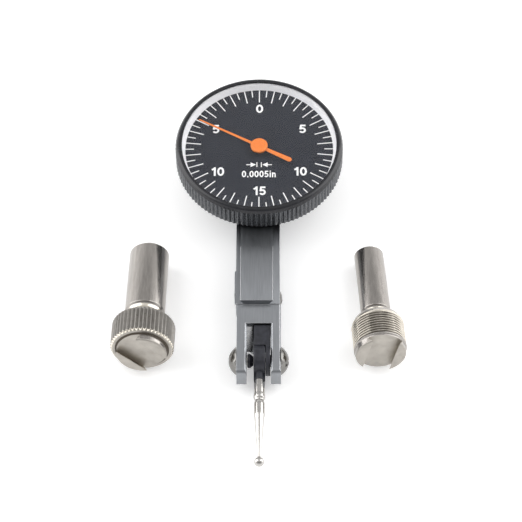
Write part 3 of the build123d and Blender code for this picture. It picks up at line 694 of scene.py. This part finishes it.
# ---- body -------------------------------------------------------------------------------------------
def make_body():
    to_dial = DIAL.inverted()

    def painted_light_ramp_or_edge(face):
        """1 on the rounded edges, a painted highlight, and on the ramp beside the lever, painted light where
        it lies in shadow.
        """
        x, y, _ = to_dial @ face.center
        in_slot = RAMP_X[0] < x < RAMP_X[1] and RAMP_Y[0] < y < RAMP_Y[1]
        slopes = face.normal.z > 0.1 and face.normal.y < -0.1
        return 1 if in_slot and slopes else face.material_index

    body = cad_copy("body_frame", "body_frame_piece", 0.11, 3, 1)
    finish_piece(body, ALUMINIUM, "body", "body_grey", None, ("body_frame",), painted_light_ramp_or_edge, (PAINTED_HIGHLIGHT_ALUMINIUM,))
    for node, width in (("back_cover", 0.1), ("access_cover", 0.06)):
        # The covers' rounded edges take the pale aluminium too, as a painted highlight.
        cover = cad_copy(node, node + "_piece", width, 2, 1)
        finish_piece(cover, ALUMINIUM, "body", "body_grey", None, (node,), None, (PAINTED_HIGHLIGHT_ALUMINIUM,))
    for node in ("pivot_screw_left", "pivot_screw_right", "side_screw", "access_screw"):
        screw = cad_copy(node, node + "_piece", 0.05, 2)
        finish_piece(screw, SCREW_NICKEL, "body", "screw_nickel", None, (node,))
    block = cad_copy("lever_block", "lever_block_piece", 0.1, 3)
    finish_piece(block, BLACKENED, "lever", "knuckle_black", None, ("lever_block",))


def along_x(middle):
    """Turns a lathe's Z axis into the pivot's X axis, at x = middle."""
    return DIAL @ Matrix.Translation((middle, PIVOT_Y, PIVOT_Z)) @ Matrix.Rotation(pi / 2, 4, "Y")


def along_stylus():
    return DIAL @ Matrix.Translation((STYLUS_X, PIVOT_Y, PIVOT_Z)) @ Matrix.Rotation(pi / 2, 4, "X")


def make_stylus():
    half = KNUCKLE_HALF_WIDTH
    profile = soften([(0.64, -half), (KNUCKLE_R, -half), (KNUCKLE_R, half), (0.64, half)], 0.35, 5)
    drum = lathe("knuckle_drum", profile, 96)
    drum.data.transform(along_x(STYLUS_X))
    neck_profile = soften([(0, 2.9), (NECK_R, 2.9), (NECK_R, NECK_END), (0, NECK_END)], 0.1, closed=False)
    neck = lathe("knuckle_neck", neck_profile, 64)
    neck.data.transform(along_stylus())
    knuckle = joined("stylus_knuckle_piece", [drum, neck])
    finish_piece(knuckle, BLACKENED, "stylus", "knuckle_black", None, ("stylus_knuckle",))
    collar_profile = soften([(0.61, -2.19), (1.42, -2.19), (1.42, -1.75), (0.9, -1.06), (0.61, -1.06)], 0.08)
    collar = lathe("friction_collar_piece", collar_profile, 48)
    finish_piece(collar, BLACKENED, "lever", "knuckle_black", along_x(0), ("friction_collar",))
    make_stylus_tip()


def make_stylus_tip():
    """The steel parts, by their (radius, distance from the pivot): shank, tapering needle and ball."""
    shank = soften([(0, NECK_END), (1.1, NECK_END + 0.01), (1.1, 7.6), (1.17, 8.0), (1.17, 8.5), (0.94, 9.0),
                    (0.94, 9.18), (0, 9.18)], 0.12, 4, closed=False)
    taper_end = STYLUS_LENGTH - BALL_R + 0.1
    needle = soften([(0, 9.2), (0.94, 9.22), (1.1, 9.9), (1.1, 12.4), (0.98, 13.2), (0.38, taper_end),
                     (0, taper_end)], 0.15, 5, closed=False)
    steps = 32
    turns = [pi * i / steps for i in range(steps + 1)]
    ball = [(BALL_R * sin(turn), STYLUS_LENGTH - BALL_R * cos(turn)) for turn in turns]
    for node, slot, profile in (("stylus_shank", "steel", shank), ("stylus_needle", "steel", needle),
                                ("contact_ball", "ball", ball)):
        finish_piece(lathe(node + "_piece", profile, 64), STEEL, "stylus", slot, along_stylus(), (node,))


# ---- stems ------------------------------------------------------------------------------------------
def thread_ripple(r, z, angle):
    """A right-handed thread on the head's wall."""
    if r < HEAD_R - 0.02:
        return r
    phase = z / THREAD_PITCH - angle / 360
    phase -= floor(phase)
    groove = 1 - abs(phase - 0.5) * 2
    fade = min(1, (-0.4 - z) / 0.3, (z + HEAD_LENGTH - HEAD_TAPER[1]) / 0.3)
    return r - THREAD_DEPTH * max(0, fade) * groove


def make_stem(name, node, body, place, shank_r):
    across, along = HEAD_TAPER
    wall_top, wall_bottom = -0.35, along - HEAD_LENGTH
    rows = int((wall_top - wall_bottom) / THREAD_PITCH * 12)
    wall = [(HEAD_R, wall_top + (wall_bottom - wall_top) * i / rows) for i in range(rows + 1)]
    claws = soften([(0, CLAW_HEIGHT), (CLAW_R - 0.25, CLAW_HEIGHT), (CLAW_R, CLAW_HEIGHT - 0.25),
                    (CLAW_R, -0.2), (HEAD_R, wall_top)], 0.08, 3, closed=False)[:-1]
    neck_r = shank_r - NECK_DEPTH
    neck_z = -HEAD_LENGTH - NECK_LENGTH
    shank = soften([(HEAD_R - 0.12, wall_bottom - 0.45), (HEAD_R - across, -HEAD_LENGTH),
                    (neck_r, -HEAD_LENGTH), (neck_r, neck_z + 0.9), (shank_r - 0.42, neck_z + 0.5),
                    (shank_r - 0.25, neck_z + 0.2), (shank_r, neck_z), (shank_r, SHANK_CHAMFER - STEM_LENGTH),
                    (shank_r - SHANK_CHAMFER, -STEM_LENGTH), (0, -STEM_LENGTH)], 0.12, 4, closed=False)
    stem = lathe(name, claws + wall + shank, 160, thread_ripple, closed=False)

    half_floor = RAIL_WIDTH / 2 + SLOT_CLEARANCE
    undercut = CLAW_HEIGHT / tan(radians(RAIL_ANGLE))
    section = [(-half_floor, 0), (half_floor, 0), (half_floor - undercut, CLAW_HEIGHT),
               (half_floor - undercut, CLAW_HEIGHT + 1), (undercut - half_floor, CLAW_HEIGHT + 1),
               (undercut - half_floor, CLAW_HEIGHT)]
    slot = prism("slot", section, -9, 9)
    slot.data.transform(Matrix(((0, 0, 1, 0), (1, 0, 0, 0), (0, 1, 0, 0), (0, 0, 0, 1))))
    stem = bevel(cut(stem, slot), 0.06, 2, 40)

    def kind_of(face):
        """1 on ground faces; 2, a painted highlight, on thread crests, on the slot's undercut walls and in
        the neck; 3, painted shade, in the thread grooves and in the gap to the nut.
        """
        z = face.center.z
        r = radius_of(face.center)
        if min(stem.data.vertices[i].co.z for i in face.vertices) > -0.07:
            return 2 if face.normal.z < -0.2 else 1
        if -HEAD_LENGTH + 1 < z < -0.7:
            return 3 if r < HEAD_R - THREAD_DEPTH * 0.55 else 2
        if neck_z + 0.3 < z < -HEAD_LENGTH - 0.02 and r < neck_r + 0.2:
            return 2
        return 3 if body == "large_stem" and -0.9 < z < -0.1 and r > CLAW_R - 0.05 else 0

    finish_piece(stem, STEM_NICKEL, body, "stem_nickel", place, (node,), kind_of,
                 (FACE_NICKEL, PAINTED_HIGHLIGHT_NICKEL, PAINTED_SHADE_NICKEL))


def nut_ripple(r, z, angle):
    if r < NUT_R - NUT_KNURL_DEPTH - 0.1:
        return r
    limit = NUT_R - NUT_KNURL_DEPTH * (1 - tooth_wave(angle, NUT_TEETH, 0.22, 0.12))
    return min(r, limit)


def make_nut():
    outer_r = NUT_R - NUT_CHAMFER
    profile = soften([(NUT_BORE_R, NUT_FRONT), (outer_r, NUT_FRONT), (NUT_R, NUT_FRONT - NUT_CHAMFER),
                      (NUT_R, NUT_REAR + NUT_CHAMFER), (outer_r, NUT_REAR), (5.55, NUT_REAR),
                      (NUT_BORE_R, NUT_REAR + 0.2)], 0.08)
    nut = lathe("knurled_nut_piece", profile, NUT_TEETH * 12, nut_ripple)

    def kind_of(face):
        """1 on the front chamfer, a painted highlight; 2 in the bore, painted shade; and 3 on the front."""
        if radius_of(face.center) < NUT_BORE_R + 0.05:
            return 2
        if face.normal.z > 0.9:
            return 3
        return int(face.center.z > NUT_FRONT - NUT_CHAMFER)

    finish_piece(nut, NUT_NICKEL, "clamp_nut", "stem_nickel", LARGE, ("knurled_nut",), kind_of,
                 (PAINTED_HIGHLIGHT_NICKEL, PAINTED_SHADE_NICKEL, FACE_NICKEL))


# ---- what stays as the CAD made it ------------------------------------------------------------------
def dress_inner_pieces():
    """Materials for the CAD nodes that stay, most of them inside."""
    dressed = {
        BRASS: ("movement_plate", "plate_pillars", "centre_bush", "cross_bushes", "lower_cock",
                "hairspring_stud", "hairspring_collet", "crown_gear"),
        STEEL: ("back_cover_screws", "case_screws", "plate_screws", "bezel_wire", "cock_screw",
                "centre_pinion", "cross_pinion", "sector_lever", "pivot_shaft"),
        BLUED: ("hairspring",),
        CASE_BLACK: ("dial_case",),
    }
    for material, nodes in dressed.items():
        for node in nodes:
            obj = frame["nodes"][node]
            obj.data.materials.clear()
            obj.data.materials.append(material)


# ---- studio -----------------------------------------------------------------------------------------
def make_floor():
    """A pale sheet that glows a little, as a light table does."""
    s = Surface("studio_floor", (0.97, 0.97, 0.97), 0.0, 0.9, emission_color=(1, 1, 1, 1),
                emission_strength=FLOOR_GLOW)
    s.shade(s.noise(0.02, 2), 0.01)
    mesh = bpy.data.meshes.new("studio_floor")
    corners = [(x * FLOOR_HALF, y * FLOOR_HALF, 0) for x, y in ((-1, -1), (1, -1), (1, 1), (-1, 1))]
    mesh.from_pydata(corners, [], [(0, 1, 2, 3)])
    mesh.materials.append(s.material)
    floor_sheet = linked("studio_floor", mesh)
    floor_sheet.location.z = cad_low.z - FLOOR_GAP


def make_softbox(name, place):
    """A rectangular lamp that faces the origin."""
    data = bpy.data.lights.new(name, "AREA")
    data.shape = "RECTANGLE"
    data.size, data.size_y = SOFTBOX_SIZE
    data.energy = SOFTBOX_POWER
    lamp = linked(name, data)
    lamp.location = place
    lamp.rotation_euler = (-Vector(place)).to_track_quat("-Z", "Y").to_euler()


def set_stops(ramp, stops):
    """Gives a colour ramp its grey stops."""
    while len(ramp.elements) < len(stops):
        ramp.elements.new(0.5)
    for element, (position, value) in zip(ramp.elements, stops):
        element.position = position
        element.color = (value, value, value, 1)


def make_world():
    """A white horizon that darkens overhead, and more so on the camera's side."""
    world = bpy.data.worlds.new("studio")
    world.use_nodes = True
    nodes, links = world.node_tree.nodes, world.node_tree.links
    place = nodes.new("ShaderNodeTexCoord")
    parts = nodes.new("ShaderNodeSeparateXYZ")
    height = nodes.new("ShaderNodeValToRGB")
    front = nodes.new("ShaderNodeValToRGB")
    set_stops(height.color_ramp, WORLD_HEIGHT_STOPS)
    set_stops(front.color_ramp, WORLD_FRONT_STOPS)
    side = nodes.new("ShaderNodeMath")
    side.operation = "MULTIPLY_ADD"
    side.inputs[1].default_value = 0.5
    side.inputs[2].default_value = 0.5
    both = nodes.new("ShaderNodeMix")
    both.data_type = "RGBA"
    both.blend_type = "MULTIPLY"
    links.new(place.outputs["Generated"], parts.inputs["Vector"])
    links.new(parts.outputs["Z"], height.inputs["Fac"])
    links.new(parts.outputs["Y"], side.inputs[0])
    links.new(side.outputs["Value"], front.inputs["Fac"])
    links.new(parts.outputs["Z"], both.inputs[0])
    links.new(height.outputs["Color"], both.inputs[6])
    links.new(front.outputs["Color"], both.inputs[7])
    links.new(both.outputs[2], nodes["Background"].inputs["Color"])
    nodes["Background"].inputs["Strength"].default_value = WORLD_STRENGTH
    bpy.context.scene.world = world


def make_studio():
    make_floor()
    make_world()
    for name, place in SOFTBOXES.items():
        make_softbox(name, place)
    bpy.context.scene.view_settings.view_transform = "Standard"


def make_camera():
    elevation, azimuth, roll = (radians(a) for a in (CAMERA_ELEVATION, CAMERA_AZIMUTH, CAMERA_ROLL))
    forward = Vector((sin(azimuth) * cos(elevation), cos(azimuth) * cos(elevation), -sin(elevation)))
    level = Vector((cos(azimuth), -sin(azimuth), 0))
    upright = level.cross(forward)
    right = level * cos(roll) + upright * sin(roll)
    up = upright * cos(roll) - level * sin(roll)
    target = DIAL @ Vector(CAMERA_TARGET)
    data = bpy.data.cameras.new("camera")
    data.lens = CAMERA_LENS
    data.sensor_width = CAMERA_SENSOR
    data.clip_start, data.clip_end = 0.01, 10
    camera = linked("camera", data)
    facing = Matrix((right, up, -forward)).transposed().to_4x4()
    camera.matrix_world = Matrix.Translation(target - forward * CAMERA_DISTANCE * MM) @ facing
    bpy.context.scene.camera = camera


make_bezel()
make_crystal()
make_reflector()
make_dial()
make_graduation()
make_numerals()
make_arrows()
make_pointer()
make_body()
make_stylus()
make_stem("large_stem_piece", "large_stem", "large_stem", LARGE, LARGE_SHANK_R)
make_stem("small_stem_piece", "small_stem", "small_stem", SMALL, SMALL_SHANK_R)
make_nut()
dress_inner_pieces()
make_studio()
make_camera()
